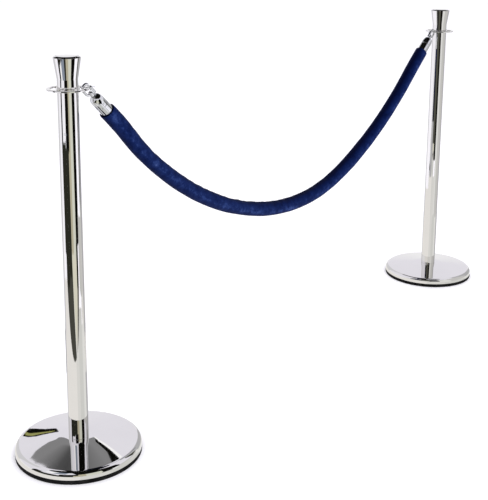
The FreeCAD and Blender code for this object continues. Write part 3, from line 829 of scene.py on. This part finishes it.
def flat_panel(name, corners, material):
    mesh = bpy.data.meshes.new(name)
    mesh.from_pydata([tuple(corner) for corner in corners], [], [tuple(range(len(corners)))])
    mesh.materials.append(material)
    panel = bpy.data.objects.new(name, mesh)
    bpy.context.collection.objects.link(panel)
    return panel


def make_floor():
    reach = 14.0
    corners = [(-reach, -reach, 0), (reach, -reach, 0), (reach, reach, 0), (-reach, reach, 0)]
    flat_panel("studio_floor", corners, glowing_floor())


def from_post(post, across, deep, up):
    """A place given as (right, away, up) from a post's foot, as the viewer sees it."""
    foot = middle(f"{post}_post_tube")
    foot.z = 0
    away = foot - VIEWER
    away.z = 0
    away.normalize()
    right = Vector((away.y, -away.x, 0))
    return foot + right * across + away * deep + Vector((0, 0, up))


def card(name, post, corners, material):
    """A card that only glossy surfaces see; corners are (right, away, up) from the post's foot."""
    panel = flat_panel(f"{post}_{name}", [from_post(post, *corner) for corner in corners], material)
    for kind in ("camera", "diffuse", "shadow", "transmission", "volume_scatter"):
        setattr(panel, f"visible_{kind}", False)


def bearing_point(bearing, distance):
    """(right, away) of a point seen from a post; 0 degrees is toward the viewer, 90 to their right."""
    angle = math.radians(bearing)
    return distance * math.sin(angle), -distance * math.cos(angle)


def upright_card(name, post, bearings, distance, heights, material):
    start, end = bearings
    low, high = heights
    places = ((start, low), (end, low), (end, high), (start, high))
    card(name, post, [(*bearing_point(edge, distance), up) for edge, up in places], material)


def slanted_card(name, post, bearings, reach, heights, material):
    """A card that falls away from the post, so that the crown sees its face and the tube only its edge."""
    start, end = bearings
    near, far = reach
    high, low = heights
    places = ((start, near, high), (end, near, high), (end, far, low), (start, far, low))
    card(name, post, [(*bearing_point(edge, away), up) for edge, away, up in places], material)


def floor_card(name, post, bearings, reach, material, up=0.0015):
    """A sector of the floor round a post, just above it."""
    start, end = bearings
    steps = 6
    turns = [start + (end - start) * step / steps for step in range(steps + 1)]
    inner = [(*bearing_point(turn, reach[0]), up) for turn in turns]
    outer = [(*bearing_point(turn, reach[1]), up) for turn in reversed(turns)]
    card(name, post, inner + outer, material)


def make_cards():
    """Polished metal shows only what stands round it: softboxes, dark flags and a dark gap overhead."""
    shades = {name: glowing(f"card_{name}", colour).material for name, colour in SHADES.items()}
    shades["soot"] = soot()
    for post, cards in STANDING_CARDS.items():
        for name, bearings, distance, heights, shade in cards:
            upright_card(name, post, bearings, distance, heights, shades[shade])
    for post in SIDES:
        for name, bearings, reach, shade in FLOOR_CARDS:
            floor_card(name, post, bearings, reach, shades[shade])
    floor_card("floor_line", "left", (-158, -143), (0.46, 0.79), shades["black"], 0.0030)
    for name, bearings, shade in (
        ("card_blue", (-52, -26), "blue_grey"),
        ("card_gap", (-67, -52), "white"),
    ):
        slanted_card(name, "left", bearings, (0.40, 0.78), (0.750, 0.672), shades[shade])
    for name, shade, up, corners in WEDGES:
        card(name, "left", [(*bearing_point(*corner), up) for corner in corners], shades[shade])
    for name, shade, nearer, corners in HANGING_CARDS:
        card(name, "left", [(across, BEYOND - nearer, up) for across, up in corners], shades[shade])
    make_dark_ceiling(shades["black"])


def make_dark_ceiling(black):
    """A dark gap over the set, and a disc over each crown."""
    over = ((-0.45, BEYOND), (0.80, BEYOND), (0.86, -1.0), (-0.50, -1.0))
    card("gap_over", "left", [(*place, CEILING) for place in over], black)
    front = ((-0.7, -1.0), (5.0, -1.0), (5.0, -6.0), (-0.7, -6.0))
    card("gap_front", "left", [(*place, CEILING) for place in front], black)
    for post, reach in (("left", 0.60), ("right", 0.40)):
        disc = [(*bearing_point(turn, reach), 1.25) for turn in range(0, 360, 10)]
        card("gap_crown", post, disc, black)


def make_lights():
    """A white room with a lilac ceiling, and two soft boxes."""
    world = bpy.data.worlds.new("studio")
    world.use_nodes = True
    nodes, links = world.node_tree.nodes, world.node_tree.links
    background = nodes["Background"]
    direction = nodes.new("ShaderNodeTexCoord")
    split = nodes.new("ShaderNodeSeparateXYZ")
    ramp = nodes.new("ShaderNodeValToRGB")
    links.new(direction.outputs["Generated"], split.inputs["Vector"])
    links.new(split.outputs["Z"], ramp.inputs["Fac"])
    links.new(ramp.outputs["Color"], background.inputs["Color"])
    first, last = ramp.color_ramp.elements
    first.position = 0.05
    first.color = (1.0, 1.0, 1.0, 1)
    last.position = 0.30
    last.color = (0.90, 0.885, 0.95, 1)
    background.inputs["Strength"].default_value = 1.0
    bpy.context.scene.world = world
    for name, place, size, power in (
        ("key", (-1.5, -3.5, 4.2), 2.5, 60),
        ("fill", (3.5, 1.5, 4.0), 3.0, 30),
    ):
        light = bpy.data.lights.new(name, "AREA")
        light.size = size
        light.energy = power
        lamp = bpy.data.objects.new(name, light)
        lamp.location = place
        lamp.rotation_euler = (Vector((0, 0, 0.5)) - Vector(place)).to_track_quat("-Z", "Y").to_euler()
        lamp.visible_glossy = False
        bpy.context.collection.objects.link(lamp)
    bpy.context.scene.view_settings.view_transform = "Standard"


def dress_cad_nodes(finishes):
    """Gives each CAD node that is still shown its material, by its slot in the record."""
    for entry in frame["record"]["subparts"]:
        node = frame["nodes"][entry["node"]]
        node.data.materials.clear()
        node.data.materials.append(finishes[entry["material_slot"]])


make_camera()
finishes = {
    "polished_steel": polished_metal("polished_steel", (0.81, 0.80, 0.795), 0.04, 0.015),
    "chrome": polished_metal("bright_chrome", (0.70, 0.71, 0.73), 0.12, 0.05, (1, 1, 1)),
    "zinc_steel": turned_steel("zinc_steel", (0.60, 0.61, 0.60)),
    "spring_steel": turned_steel("spring_steel", (0.50, 0.51, 0.53)),
    "cast_iron": cast_iron(),
    "rubber": moulded_rubber(),
    "velvet": velvet(),
    "foam_padding": foam(),
    "cotton_core": cotton_cord(),
}
dress_cad_nodes(finishes)
make_rope(finishes["velvet"], [make_spring(side, finishes["spring_steel"]) for side in SIDES])
for side in SIDES:
    make_cover(side, finishes["polished_steel"])
    make_tube(side, finishes["polished_steel"])
    make_crown(side, finishes["polished_steel"])
    make_lid(side, finishes["polished_steel"])
    make_floor_ring(side, finishes["rubber"])
make_floor()
make_cards()
make_lights()
